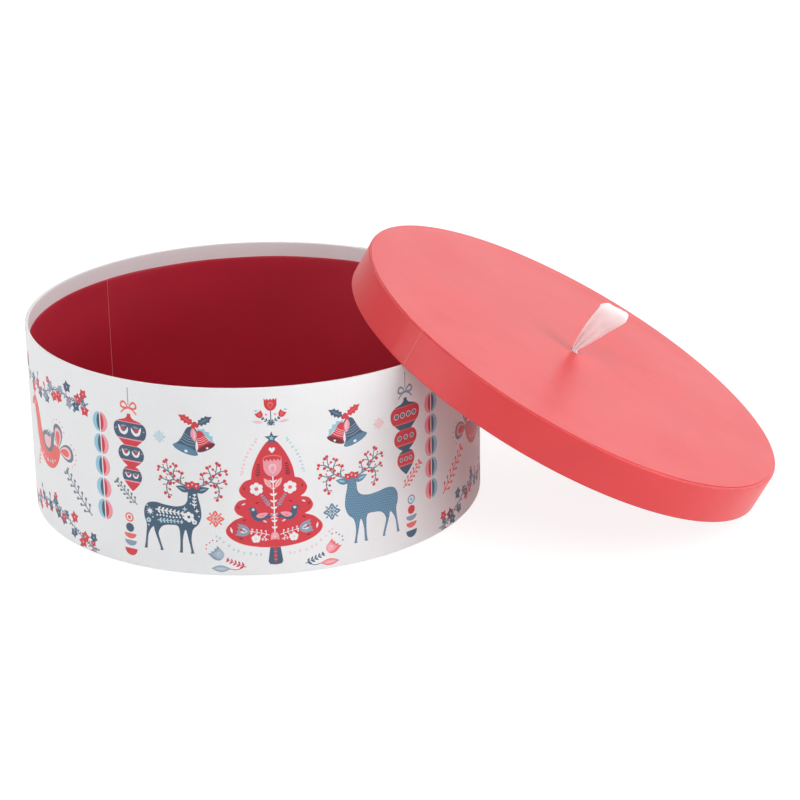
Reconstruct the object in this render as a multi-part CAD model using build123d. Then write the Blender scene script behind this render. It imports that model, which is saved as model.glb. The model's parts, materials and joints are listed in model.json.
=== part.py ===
"""Round keepsake box of paper-covered board, its lid leaning off the rim, and the lid's ribbon pull.

Millimetres, +Z up. The origin is the centre of the box's base, on the surface it stands on. The lid
leans in the XZ plane, down towards +X: its lowest edge is on that surface and its skirt on the rim.
"""
import os
from math import cos, radians, sin

from build123d import *

# Driving sizes of the box
BOX_RADIUS = 150.0
BOX_HEIGHT = 125.0
WALL_BOARD = 1.7
BASE_BOARD = 2.0
SOLE_CARD = 0.5
SOLE_INSET = 3.5
PAPER = 0.3

# How far each sheet is turned over or under an edge
WRAP_TURN_IN = 18.0
WRAP_HEM = 18.0
HEM_NOTCHES = 60
NOTCH_ROOT = 3.0
WHITE_BAND = 10.6
LAP_WIDTH = 12.0
LINER_LAP = 10.0

# Where the seams are, in degrees round the box or the lid from +X
WRAP_SEAM = 62.7
WALL_JOINT = 102.0
LINER_SEAM = 140.8
LID_WRAP_SEAM = -137.0
LID_JOINT = 60.0

# Board joints
JOINT_GAP = 0.4
TAPE_WIDTH = 20.0

# Driving sizes of the lid
LID_RADIUS = 153.0
LID_SKIRT = 26.0
LID_RIM_BOARD = 1.5
LID_TOP_BOARD = 2.0
LID_TOP_INSET = 2.0
LID_TURN_OVER = 16.0
LID_LEAN = 28.76
LID_REACH = 213.1
HOLE_RADIUS = 2.5

# Ribbon pull
RIBBON = 0.4
RIBBON_TALL = 40.0
RIBBON_EDGE_LEFT = -2.5
RIBBON_EDGE_RIGHT = 19.5
LOOP_RADIUS = 4.4
NECK_WIDTH = 3.6
NECK_THICK = 3 * RIBBON
NECK_CLEARANCE = 0.3
TAIL_LENGTH = 20.0
TAIL_WIDTH = 18.0
PATCH_RADIUS = 25.0

# Worked out from the driving sizes
HEM_LEVEL = SOLE_CARD
BOARD_LEVEL = SOLE_CARD + PAPER
BOARD_TOP = BOX_HEIGHT - PAPER
FLOOR_LEVEL = BOARD_LEVEL + BASE_BOARD
BOARD_OUTER = BOX_RADIUS - PAPER
BOARD_INNER = BOARD_OUTER - WALL_BOARD
TURN_IN_INNER = BOARD_INNER - PAPER
LINER_OVER_TURN_IN = TURN_IN_INNER - PAPER
TURN_IN_LEVEL = BOX_HEIGHT - WRAP_TURN_IN
LINER_TOP = BOX_HEIGHT - WHITE_BAND
RIM_OUTER = LID_RADIUS - PAPER
RIM_INNER = RIM_OUTER - LID_RIM_BOARD
BAND_INNER = RIM_INNER - PAPER
LID_BOARD_TOP = -2 * PAPER
LID_BOARD_LOW = LID_BOARD_TOP - LID_TOP_BOARD
LID_LINER_LOW = LID_BOARD_LOW - PAPER
TAIL_LOW = LID_LINER_LOW - RIBBON
PATCH_LOW = TAIL_LOW - PAPER
LID_RISE = LID_RADIUS * sin(radians(LID_LEAN)) + LID_SKIRT * cos(radians(LID_LEAN))
LID_PLACE = Location((LID_REACH, 0, LID_RISE), (0, LID_LEAN, 0))


def disc(radius, low, high):
    """Flat round piece between two levels."""
    return Pos(0, 0, low) * Cylinder(radius, high - low, align=(Align.CENTER, Align.CENTER, Align.MIN))


def tube(inner, outer, low, high):
    """Round wall between two radii and two levels."""
    return disc(outer, low, high) - disc(inner, low, high)


def strip(inner, outer, low, high, azimuth, width):
    """Stretch of a round wall, width wide, centred on one azimuth."""
    cutter = Box(4 * (outer - inner) + width, width, high - low, align=(Align.CENTER, Align.CENTER, Align.MIN))
    cutter = Rot(0, 0, azimuth) * Pos(outer, 0, low) * cutter
    return tube(inner, outer, low, high) & cutter


def notched_ring(inner, outer, low, high):
    """Turned paper edge, with a V cut out between each pair of tabs so that it lies flat."""
    root = outer - NOTCH_ROOT
    half = (outer - inner) * radians(180 / HEM_NOTCHES)
    notch = make_face(Polyline((inner - 1, -half), (inner - 1, half), (root, 0), close=True))
    ring = Circle(outer) - Circle(inner)
    ring -= [Rot(0, 0, 360 * turn / HEM_NOTCHES) * notch for turn in range(HEM_NOTCHES)]
    return Pos(0, 0, low) * extrude(ring, high - low)


def jointed_ring(inner, outer, low, high, azimuth):
    """Board rolled into a ring: its ends butt, and it is sunk for the tape that holds them."""
    ring = tube(inner, outer, low, high)
    ring -= strip(inner - 1, outer + 1, low, high, azimuth, JOINT_GAP)
    return ring - joint_tape(outer, low, high, azimuth)


def joint_tape(outer, low, high, azimuth):
    """Gummed tape over a butt joint, flush with the outside of the board."""
    return strip(outer - PAPER, outer, low, high, azimuth, TAPE_WIDTH)


def outer_wrap():
    """Printed paper: outside wall, over the rim, down inside it, and a hem under the base."""
    wrap = tube(BOARD_OUTER, BOX_RADIUS, HEM_LEVEL, BOX_HEIGHT)
    wrap += tube(TURN_IN_INNER, BOX_RADIUS, BOARD_TOP, BOX_HEIGHT)
    wrap += tube(TURN_IN_INNER, BOARD_INNER, TURN_IN_LEVEL, BOX_HEIGHT)
    wrap += notched_ring(BOX_RADIUS - WRAP_HEM, BOX_RADIUS, HEM_LEVEL, BOARD_LEVEL)
    return wrap + strip(BOX_RADIUS, BOX_RADIUS + PAPER, HEM_LEVEL, BOX_HEIGHT, WRAP_SEAM, LAP_WIDTH)


def liner_wall():
    """Red paper inside the wall, its top edge lapped over the turned-in white paper."""
    liner = tube(TURN_IN_INNER, BOARD_INNER, FLOOR_LEVEL, TURN_IN_LEVEL)
    liner += tube(LINER_OVER_TURN_IN, TURN_IN_INNER, TURN_IN_LEVEL - PAPER, LINER_TOP)
    low = FLOOR_LEVEL + PAPER
    knee = TURN_IN_LEVEL - PAPER
    liner += strip(LINER_OVER_TURN_IN, TURN_IN_INNER, low, knee, LINER_SEAM, LINER_LAP)
    lap_inner = LINER_OVER_TURN_IN - PAPER
    return liner + strip(lap_inner, LINER_OVER_TURN_IN, knee - PAPER, LINER_TOP, LINER_SEAM, LINER_LAP)


def box_nodes():
    """Pieces of the box, from the surface up."""
    return {
        "base_cover": disc(BOX_RADIUS - SOLE_INSET, 0, SOLE_CARD),
        "outer_wrap": outer_wrap(),
        "wall_board": jointed_ring(BOARD_INNER, BOARD_OUTER, BOARD_LEVEL, BOARD_TOP, WALL_JOINT),
        "wall_joint_tape": joint_tape(BOARD_OUTER, BOARD_LEVEL, BOARD_TOP, WALL_JOINT),
        "base_board": disc(BOARD_INNER, BOARD_LEVEL, FLOOR_LEVEL),
        "liner_wall": liner_wall(),
        "liner_floor": disc(TURN_IN_INNER, FLOOR_LEVEL, FLOOR_LEVEL + PAPER),
    }


def holed_disc(radius, low, high):
    """Lid disc with the ribbon's hole."""
    return tube(HOLE_RADIUS, radius, low, high)


def lid_rim_wrap():
    """Red paper round the rim: turned over the top board, and up the inside from the skirt's edge."""
    wrap = tube(RIM_OUTER, LID_RADIUS, -LID_SKIRT, -PAPER)
    wrap += notched_ring(LID_RADIUS - LID_TURN_OVER, LID_RADIUS, LID_BOARD_TOP, -PAPER)
    wrap += tube(BAND_INNER, LID_RADIUS, -LID_SKIRT, -LID_SKIRT + PAPER)
    wrap += tube(BAND_INNER, RIM_INNER, -LID_SKIRT, LID_BOARD_LOW)
    return wrap + strip(LID_RADIUS, LID_RADIUS + PAPER, -LID_SKIRT, -PAPER, LID_WRAP_SEAM, LAP_WIDTH)


def ribbon_tails():
    """The ribbon's two ends, spread flat under the lid, and the gathered neck up through the hole."""
    tails = Box(TAIL_WIDTH, 2 * TAIL_LENGTH, RIBBON, align=(Align.CENTER, Align.CENTER, Align.MIN))
    neck = Box(NECK_WIDTH, NECK_THICK, -TAIL_LOW, align=(Align.CENTER, Align.CENTER, Align.MIN))
    return Pos(0, 0, TAIL_LOW) * (tails + neck)


def ribbon_patch():
    """Paper disc stuck over the ribbon's ends, moulded round them."""
    return disc(PATCH_RADIUS, PATCH_LOW, LID_LINER_LOW) - ribbon_tails()


def lid_nodes():
    """Pieces of the lid, from the top down, about the centre of its top face."""
    return {
        "lid_top_paper": holed_disc(LID_RADIUS - LID_TOP_INSET, -PAPER, 0),
        "lid_rim_wrap": lid_rim_wrap(),
        "lid_rim_board": jointed_ring(RIM_INNER, RIM_OUTER, -LID_SKIRT + PAPER, LID_BOARD_TOP, LID_JOINT),
        "lid_rim_joint_tape": joint_tape(RIM_OUTER, -LID_SKIRT + PAPER, LID_BOARD_TOP, LID_JOINT),
        "lid_top_board": holed_disc(RIM_INNER, LID_BOARD_LOW, LID_BOARD_TOP),
        "lid_liner": holed_disc(BAND_INNER, LID_LINER_LOW, LID_BOARD_LOW),
        "ribbon_tails": ribbon_tails(),
        "ribbon_patch": ribbon_patch(),
    }


def ribbon_loop():
    """Ribbon doubled into a loop: round at the top, gathered into its neck, and leaning downhill."""
    hinge = Pos(0, NECK_CLEARANCE + NECK_THICK / 2)
    bend = Pos(0, RIBBON_TALL - LOOP_RADIUS)
    outer = make_hull((bend * Circle(LOOP_RADIUS)).edges() + (hinge * Circle(NECK_THICK / 2)).edges())
    gather = Pos(0, 3 * NECK_THICK)
    inner = make_hull((bend * Circle(LOOP_RADIUS - RIBBON)).edges() + (gather * Circle(RIBBON / 2)).edges())
    band = extrude(Plane.YZ * (outer - inner), RIBBON_TALL, both=True)
    half = NECK_WIDTH / 2
    front = Polyline(
        (-half, 0), (half, 0), (2 * half, 4), (14.5, 20), (RIBBON_EDGE_RIGHT, 31),
        (RIBBON_EDGE_RIGHT, RIBBON_TALL + 1), (RIBBON_EDGE_LEFT, RIBBON_TALL + 1),
        (RIBBON_EDGE_LEFT, 33), close=True)
    return band & extrude(Plane.XZ * make_face(front), LOOP_RADIUS + 1, both=True)


def main():
    """Write one STEP file for each piece."""
    os.makedirs("parts", exist_ok=True)
    nodes = box_nodes()
    lid = lid_nodes() | {"ribbon_loop": ribbon_loop()}
    nodes |= {name: LID_PLACE * shape for name, shape in lid.items()}
    for name, shape in nodes.items():
        export_step(shape, f"parts/{name}.step")


main()
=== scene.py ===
"""Looks of a round paper-covered keepsake box: printed wrap, linings, lid papers and satin ribbon.

Blender units are metres, in the CAD frame. The flat print is laid out in millimetres: x runs round the
wall from the middle of the tree, y runs up from the surface that the box stands on.
"""
import json
import math

import bmesh
import bpy
import numpy as np
from mathutils import Matrix, Vector
from mathutils.geometry import delaunay_2d_cdt


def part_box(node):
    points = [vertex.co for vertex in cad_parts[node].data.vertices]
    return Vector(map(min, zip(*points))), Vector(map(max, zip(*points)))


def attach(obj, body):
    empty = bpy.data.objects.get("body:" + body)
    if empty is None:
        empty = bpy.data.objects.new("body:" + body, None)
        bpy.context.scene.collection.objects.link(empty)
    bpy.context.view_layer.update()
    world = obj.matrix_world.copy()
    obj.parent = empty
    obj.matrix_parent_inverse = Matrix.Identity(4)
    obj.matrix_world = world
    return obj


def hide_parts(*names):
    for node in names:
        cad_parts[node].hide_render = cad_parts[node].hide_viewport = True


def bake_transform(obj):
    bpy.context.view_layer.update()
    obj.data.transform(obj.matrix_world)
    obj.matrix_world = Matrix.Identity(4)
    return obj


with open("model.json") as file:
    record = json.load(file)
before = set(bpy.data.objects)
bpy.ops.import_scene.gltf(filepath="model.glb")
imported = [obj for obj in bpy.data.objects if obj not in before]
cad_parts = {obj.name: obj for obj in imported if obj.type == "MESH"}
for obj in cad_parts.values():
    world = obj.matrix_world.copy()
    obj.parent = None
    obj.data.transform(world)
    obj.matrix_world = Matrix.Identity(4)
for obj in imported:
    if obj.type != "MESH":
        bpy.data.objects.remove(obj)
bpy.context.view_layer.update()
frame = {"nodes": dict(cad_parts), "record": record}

MM = 0.001
WELD = 0.002 * MM


# ---------------------------------------------------------------- sizes read from the frame

def mm(*values):
    """Millimetres as metres."""
    return [value * MM for value in values]


def span(node, axis):
    """Lowest and highest coordinate of a node along one axis, in metres."""
    low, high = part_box(node)
    return low[axis], high[axis]


BOX_R = -span("outer_wrap", 0)[0]
BOX_H = span("outer_wrap", 2)[1]
HEM_Z = span("outer_wrap", 2)[0]
SOLE_R = span("base_cover", 0)[1]
BOARD_R = span("wall_board", 0)[1]
BASE_R = span("base_board", 0)[1]
FLOOR_Z = span("liner_floor", 2)[1]
LINER_TOP = span("liner_wall", 2)[1]
PAPER = BOX_R - BOARD_R
TURN_IN_R = BASE_R - PAPER
LINER_R = TURN_IN_R - PAPER
TURN_IN = 18 * MM
HEM_REACH = 18 * MM
TURN_IN_Z = BOX_H - TURN_IN

joints = {joint["name"]: joint for joint in frame["record"]["behaviour"]["joints"]}
LID_UP = Vector(joints["lid_lift"]["axis"]).normalized()
LID_DOWNHILL = Vector(joints["ribbon_swing"]["axis"]).normalized()
LID_SIDE = LID_UP.cross(LID_DOWNHILL)
HINGE = Vector(joints["ribbon_swing"]["pos_m"])
HINGE_RISE = 0.9 * MM
LID_TOP = HINGE - HINGE_RISE * LID_UP
LID_R = span("lid_rim_wrap", 1)[1]
LID_TOP_R = span("lid_top_paper", 1)[1]
SKIRT = 26 * MM
LID_BOARD = 2 * MM
LID_BAND_R = span("lid_liner", 1)[1]
LID_LINER_Z = -2 * PAPER - LID_BOARD - PAPER
HOLE_R = 2.5 * MM
LID_FRAME = Matrix((
    (LID_DOWNHILL.x, LID_SIDE.x, LID_UP.x, LID_TOP.x),
    (LID_DOWNHILL.y, LID_SIDE.y, LID_UP.y, LID_TOP.y),
    (LID_DOWNHILL.z, LID_SIDE.z, LID_UP.z, LID_TOP.z),
    (0, 0, 0, 1)))

# Degrees round from +X to the tree's middle and to each lap's free edge; then how wide a lap is, how far
# it eases away past that, and how wide its cut edge is drawn
TREE_AT = -79.5
WRAP_SEAM = 60.4
LINER_SEAM = 140.8
LID_SEAM = -134.9
LAP = 12 * MM
LINER_LAP = 10 * MM
LAP_EASE = 10 * MM
CUT = 0.12 * MM

# How uneven a hand-covered wall is, and how much of that shows in the paper turned inside
UNEVEN = 0.05 * MM
SHOWN_INSIDE = 0.67


# ---------------------------------------------------------------- materials

INKS = {
    "paper": (0.845, 0.850, 0.862), "navy": (0.047, 0.098, 0.165), "blue": (0.105, 0.225, 0.345),
    "sky": (0.300, 0.580, 0.720), "mist": (0.255, 0.330, 0.430), "red": (0.655, 0.036, 0.054),
    "coral": (0.830, 0.145, 0.125), "pink": (0.860, 0.330, 0.400), "rose": (0.880, 0.560, 0.600),
    "wine": (0.165, 0.012, 0.030), "slate": (0.150, 0.190, 0.240), "ice": (0.470, 0.660, 0.740),
    "haze": (0.400, 0.480, 0.580),
}


class Graph:
    """Short way to add and join the nodes of one material."""

    def __init__(self, name):
        self.material = bpy.data.materials.new(name)
        self.material.use_nodes = True
        self.tree = self.material.node_tree
        self.shader = self.tree.nodes["Principled BSDF"]
        self.place = self.add("ShaderNodeTexCoord").outputs["Object"]

    def add(self, kind, inputs=(), **settings):
        """New node; an input's value is a socket to join, or the value to set."""
        node = self.tree.nodes.new(kind)
        for name, value in settings.items():
            setattr(node, name, value)
        for name, value in dict(inputs).items():
            if isinstance(value, bpy.types.NodeSocket):
                self.tree.links.new(value, node.inputs[name])
            else:
                node.inputs[name].default_value = value
        return node

    def noise(self, scale, detail=3.0, stretch=(1, 1, 1), distortion=0.0):
        place = self.add("ShaderNodeMapping", {"Vector": self.place, "Scale": stretch}).outputs["Vector"]
        inputs = {"Vector": place, "Scale": scale, "Detail": detail, "Distortion": distortion}
        return self.add("ShaderNodeTexNoise", inputs).outputs["Fac"]

    def spread(self, source, low, high, start=0.3, end=0.7):
        inputs = {"Value": source, "From Min": start, "From Max": end, "To Min": low, "To Max": high}
        return self.add("ShaderNodeMapRange", inputs).outputs["Result"]

    def tint(self, source, first, second):
        node = self.add("ShaderNodeValToRGB", {"Fac": source})
        for element, position, color in zip(node.color_ramp.elements, (0.3, 0.7), (first, second)):
            element.position = position
            element.color = (*color, 1)
        return node.outputs["Color"]

    def blend(self, factor, below, color):
        inputs = {0: factor, 6: below, 7: (*color, 1)}
        return self.add("ShaderNodeMix", inputs, data_type="RGBA").outputs[2]

    def bump(self, height, strength, distance, below=None):
        inputs = {"Height": height, "Strength": strength, "Distance": distance}
        if below is not None:
            inputs["Normal"] = below
        return self.add("ShaderNodeBump", inputs).outputs["Normal"]

    def finish(self, color, roughness, normal=None, **fixed):
        for name, source in (("Base Color", color), ("Roughness", roughness), ("Normal", normal)):
            if source is not None:
                self.tree.links.new(source, self.shader.inputs[name])
        for name, value in fixed.items():
            self.shader.inputs[name.replace("_", " ")].default_value = value
        return self.material


def shade(color, factor):
    """A colour made lighter or darker."""
    return tuple(min(1.0, channel * factor) for channel in color)


def paper(name, color, rough, grain, wave, mottle, specular=0.5):
    """Cover paper: fibre grain, a faint wave from the glue, mottled colour and an uneven finish."""
    graph = Graph(name)
    cloud = graph.noise(38.0, 4.0)
    fleck = graph.noise(900.0, 5.0)
    base = graph.tint(cloud, shade(color, 1 - mottle), shade(color, 1 + mottle))
    base = graph.blend(graph.spread(fleck, 0.0, 0.22, 0.35, 0.75), base, shade(color, 0.86))
    normal = graph.bump(graph.noise(26.0, 2.0), wave, 0.0012)
    normal = graph.bump(graph.noise(1600.0, 4.0), grain, 0.0002, normal)
    gloss = graph.spread(graph.noise(14.0, 3.0), *rough)
    return graph.finish(base, gloss, normal, Specular_IOR_Level=specular)


def board(name, color):
    """Grey recycled board: long fibres, specks and a dry matt face."""
    graph = Graph(name)
    base = graph.tint(graph.noise(60.0, 5.0), shade(color, 0.85), shade(color, 1.1))
    speck = graph.noise(1300.0, 2.0)
    base = graph.blend(graph.spread(speck, 0.0, 0.7, 0.62, 0.72), base, shade(color, 0.45))
    fibre = graph.noise(420.0, 4.0, (1, 1, 6), 0.6)
    normal = graph.bump(fibre, 0.35, 0.0004)
    return graph.finish(base, graph.spread(fibre, 0.8, 0.95), normal, Specular_IOR_Level=0.25)


def tape(name, color):
    """Gummed kraft tape: machine-direction streaks and a soft sheen."""
    graph = Graph(name)
    streak = graph.noise(260.0, 4.0, (1, 1, 0.12))
    base = graph.tint(streak, shade(color, 0.85), shade(color, 1.12))
    normal = graph.bump(graph.noise(900.0, 3.0), 0.2, 0.0003)
    return graph.finish(base, graph.spread(streak, 0.45, 0.62), normal)


def satin(name, color):
    """Satin ribbon: close warp lines along its length and a soft sheen."""
    graph = Graph(name)
    strip = graph.add("ShaderNodeUVMap", uv_map="strip").outputs["UV"]
    inputs = {"Vector": strip, "Scale": 26.0, "Distortion": 0.6, "Detail": 1.0}
    wave = graph.add("ShaderNodeTexWave", inputs, wave_type="BANDS", bands_direction="X")
    base = graph.tint(graph.noise(90.0, 3.0), shade(color, 0.93), shade(color, 1.05))
    base = graph.blend(graph.spread(wave.outputs["Fac"], 0.0, 0.08, 0.0, 1.0), base, shade(color, 0.86))
    normal = graph.bump(wave.outputs["Fac"], 0.12, 0.0001)
    return graph.finish(base, graph.spread(graph.noise(120.0, 2.0), 0.30, 0.42), normal,
                        Sheen_Weight=0.6, Sheen_Roughness=0.5)


LID_RED = (0.745, 0.046, 0.052)
LINER_RED = (0.500, 0.003, 0.028)
ink_materials = []
for name, color in INKS.items():
    mottle = 0.012 if name == "paper" else 0.05
    ink_materials.append(paper("wrap_" + name, color, (0.40, 0.52), 0.10, 0.25, mottle))
ink_index = {name: number for number, name in enumerate(INKS)}
lid_paper = paper("lid_cover_paper", LID_RED, (0.36, 0.42), 0.12, 0.16, 0.03)
lining_paper = paper("lining_paper", LINER_RED, (0.58, 0.68), 0.16, 0.20, 0.05, 0.8)
paper_core = paper("paper_cut_edge", (0.88, 0.40, 0.41), (0.70, 0.85), 0.20, 0.0, 0.04, 0.2)
card = paper("base_card", (0.80, 0.79, 0.77), (0.60, 0.75), 0.20, 0.15, 0.02, 0.3)
grey_board = board("grey_board", (0.36, 0.34, 0.32))
kraft_tape = tape("gummed_tape", (0.42, 0.29, 0.17))
ribbon_satin = satin("ribbon_satin", (0.985, 0.955, 0.958))


# ---------------------------------------------------------------- meshes

def piece(name, points, faces, materials, body, stands_for, indices=None, sharp=40):
    """One mesh object, its stray points and edges removed, that takes the place of CAD nodes."""
    mesh = bpy.data.meshes.new(name)
    mesh.from_pydata([tuple(point) for point in points], [], faces)
    for material in materials:
        mesh.materials.append(material)
    if indices is not None:
        mesh.polygons.foreach_set("material_index", indices)
    welded = bmesh.new()
    welded.from_mesh(mesh)
    bmesh.ops.remove_doubles(welded, verts=welded.verts, dist=WELD)
    bmesh.ops.delete(welded, geom=[edge for edge in welded.edges if edge.is_wire], context="EDGES")
    bmesh.ops.recalc_face_normals(welded, faces=welded.faces)
    welded.to_mesh(mesh)
    welded.free()
    mesh.polygons.foreach_set("use_smooth", [True] * len(mesh.polygons))
    mesh.set_sharp_from_angle(angle=math.radians(sharp))
    mesh.update()
    thing = bpy.data.objects.new(name, mesh)
    bpy.context.scene.collection.objects.link(thing)
    if body:
        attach(thing, body)
    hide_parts(*stands_for)
    return thing


def fillet(corner, before, after, radius, steps=3):
    """Points that round a profile's corner, from the run before it to the run after."""
    corner, before, after = Vector(corner), Vector(before), Vector(after)
    one = (before - corner).normalized()
    two = (after - corner).normalized()
    points = []
    for step in range(steps + 1):
        t = step / steps
        points.append(tuple(corner + one * radius * (1 - t) ** 2 + two * radius * t ** 2))
    return points


def ring_mesh(profile, turns, shift):
    """Closed profile of (radius, height) swept round the Z axis; shift() gives each point's unevenness."""
    count, columns = len(profile), len(turns)
    points = []
    for turn in turns:
        for number, (radius, height) in enumerate(profile):
            out, up = shift(turn, radius, height, number)
            points.append(((radius + out) * math.cos(turn), (radius + out) * math.sin(turn), height + up))
    faces = []
    for column in range(columns):
        near, far = column * count, (column + 1) % columns * count
        for number in range(count):
            following = (number + 1) % count
            faces.append((near + number, far + number, far + following, near + following))
    return points, faces


def even_turns(count, extra=()):
    """Angles right round the circle, with more where a paper's edge needs them."""
    turns = [2 * math.pi * number / count for number in range(count)]
    return sorted(turns + [angle % (2 * math.pi) for angle in extra])


def lap_turns(seam, width, radius, side):
    """Angles that a lapped seam needs: a crisp free edge and an easy slope on its other side."""
    places = (0, -CUT, width, width + LAP_EASE / 2, width + LAP_EASE)
    return [math.radians(seam) + side * place / radius for place in places]


def past_seam(turn, seam, radius, side=1):
    """How far an angle lies round the circle from a seam, on the lap's side."""
    return side * ((turn - math.radians(seam) + math.pi) % (2 * math.pi) - math.pi) * radius


def lap_rise(turn, seam, width, radius, side=1):
    """How far a lap lifts the paper: one sheet's thickness from its free edge, easing away."""
    away = past_seam(turn, seam, radius, side)
    if away < 0 or away > width + LAP_EASE:
        return 0.0
    eased = max(0.0, away - width) / LAP_EASE
    return PAPER * (1 - eased * eased * (3 - 2 * eased))


def cut_edge(points, faces, seam, radius, side):
    """Each face's material number: 1, the paper's own core, on a lap's cut edge, and 0 elsewhere."""
    indices = []
    for face in faces:
        x, y = (sum(points[number][axis] for number in face) for axis in (0, 1))
        indices.append(1 if -1.1 * CUT < past_seam(math.atan2(y, x), seam, radius, side) < 0 else 0)
    return indices


def waver(turn, seed, size):
    """Slow unevenness of hand-laid paper, round a circle."""
    waves = ((1.0, 3, 1.0), (0.6, 7, 2.3), (0.4, 16, 5.0))
    return size / 2 * sum(height * math.sin(count * turn + phase * seed) for height, count, phase in waves)


def to_lid(points):
    """Points about the lid's top centre, moved to where the lid leans."""
    return [LID_FRAME @ Vector(point) for point in points]


# ---------------------------------------------------------------- the flat print, in millimetres
# A motif is a list of (ink, outline), later shapes lying over earlier ones.

def oval(rx, ry=None, at=(0, 0), count=20, start=0.0, sweep=360.0):
    """Ellipse, or with a shorter sweep the segment cut off by its chord."""
    ry = rx if ry is None else ry
    whole = sweep == 360.0
    angles = [math.radians(start + sweep * step / (count if whole else count - 1)) for step in range(count)]
    return [(at[0] + rx * math.cos(a), at[1] + ry * math.sin(a)) for a in angles]


def moved(points, x=0.0, y=0.0, turn=0.0, size=1.0, flip=False):
    """Outline scaled, turned by degrees, mirrored and then shifted."""
    c, s = math.cos(math.radians(turn)) * size, math.sin(math.radians(turn)) * size
    sign = -1 if flip else 1
    return [(sign * (c * px - s * py) + x, s * px + c * py + y) for px, py in points]


def put(motif, x=0.0, y=0.0, turn=0.0, size=1.0, flip=False):
    """Motif placed as moved() places an outline."""
    return [(name, moved(outline, x, y, turn, size, flip)) for name, outline in motif]


def polar(distance, turn, x=0.0, y=0.0):
    """Point at a distance and a direction, in degrees, from another."""
    return moved([(distance, 0)], x, y, turn)[0]


def both(motif):
    """Motif and its mirror image about x = 0."""
    return motif + put(motif, flip=True)


def nested(outline, *layers):
    """Shapes of one kind inside each other: each layer is its ink, start, length and width."""
    return [(name, moved(outline(length, width), start)) for name, start, length, width in layers]


def laid(*rows):
    """Motifs laid over one another: each row is a motif and the place that put() takes."""
    return [shape for motif, *place in rows for shape in put(motif, *place)]


def inked(motif, swaps):
    """Motif in other inks."""
    return [(swaps.get(name, name), outline) for name, outline in motif]


def swept(outline):
    """Outline's area in square millimetres, negative where it runs clockwise."""
    return sum(ax * by - bx * ay for (ax, ay), (bx, by) in zip(outline, outline[1:] + outline[:1])) / 2


def clipped(outline, low, high):
    """Outline run anticlockwise and cut off at a rectangle's sides."""
    if swept(outline) < 0:
        outline = outline[::-1]
    for axis in (0, 1):
        for limit, sign in ((low[axis], 1), (high[axis], -1)):
            result = []
            for here, there in zip(outline, outline[1:] + outline[:1]):
                start, end = sign * (here[axis] - limit), sign * (there[axis] - limit)
                if start >= 0:
                    result.append(here)
                if start * end < 0:
                    part = start / (start - end)
                    point = [a + (b - a) * part for a, b in zip(here, there)]
                    point[axis] = limit
                    result.append(tuple(point))
            outline = result
    return outline


def between(t, a, b, c, d):
    """Catmull-Rom value part t of the way from b to c."""
    bend, twist = 2 * a - 5 * b + 4 * c - d, 3 * b - a - 3 * c + d
    return 0.5 * (2 * b + (c - a) * t + bend * t * t + twist * t ** 3)


def curve(points, steps, closed=True):
    """Smooth Catmull-Rom line through the points. A point given twice in a row is a corner."""
    count = len(points)
    result = []
    for number in range(count if closed else count - 1):
        quad = [points[(number + k) % count] if closed else points[min(max(number + k, 0), count - 1)]
                for k in (-1, 0, 1, 2)]
        if quad[1] == quad[2]:
            result.append(quad[1])
            continue
        result += [tuple(between(step / steps, *axis) for axis in zip(*quad)) for step in range(steps)]
    if not closed:
        result.append(points[-1])
    return result


def line(points, width, end=None, steps=5):
    """Outline of a drawn line that tapers from one width to another."""
    end = width if end is None else end
    path = curve(points, steps, closed=False)
    left, right = [], []
    for number, (x, y) in enumerate(path):
        ahead, behind = path[min(number + 1, len(path) - 1)], path[max(number - 1, 0)]
        dx, dy = ahead[0] - behind[0], ahead[1] - behind[1]
        half = (width + (end - width) * number / (len(path) - 1)) / 2 / (math.hypot(dx, dy) or 1)
        left.append((x - dy * half, y + dx * half))
        right.append((x + dy * half, y - dx * half))
    return left + right[::-1]


def leaf(length, width, fullness=1.0):
    """Pointed leaf from the origin along +x, its widest part set by fullness."""
    parts = [k / 9 for k in range(1, 9)]
    top = [(length * part, width / 2 * math.sin(math.pi * part ** fullness)) for part in parts]
    return [(0, 0)] + top + [(length, 0)] + [(x, -y) for x, y in top[::-1]]


def drop(length, width, count=14):
    """Drop with its point at the origin and its round end out along +x."""
    points = []
    for k in range(count):
        a = 2 * math.pi * k / count
        points.append((length * (1 - math.cos(a)) / 2, width / 2 * math.sin(a) * math.sin(a / 2) * 1.3))
    return points


def star(points, outer, inner):
    """Star with a point straight up."""
    return [polar(inner if k % 2 else outer, 90 + 180 * k / points) for k in range(2 * points)]


def heart(size):
    """Heart with its point down, size wide."""
    half = curve([(0, -0.5), (0, -0.5), (0.32, -0.18), (0.5, 0.16), (0.4, 0.42), (0.16, 0.44), (0, 0.24),
                  (0, 0.24)], 4, closed=False)
    half = [(x * size, y * size) for x, y in half[1:-1]]
    return half + [(-x, y) for x, y in half[-2:0:-1]]


def ring_of(motif, count, start=90.0):
    """Copies of a motif turned round the origin."""
    return [shape for number in range(count) for shape in put(motif, turn=start + 360 * number / count)]


def flower(petals, size, petal_ink, eye_ink, eye=0.3):
    """Open flower of round petals."""
    motif = ring_of([(petal_ink, drop(size, size * 4.6 / petals))], petals)
    motif.append((petal_ink, oval(size * 0.42, count=12)))
    return motif + [(eye_ink, oval(size * eye, count=12))]


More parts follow.
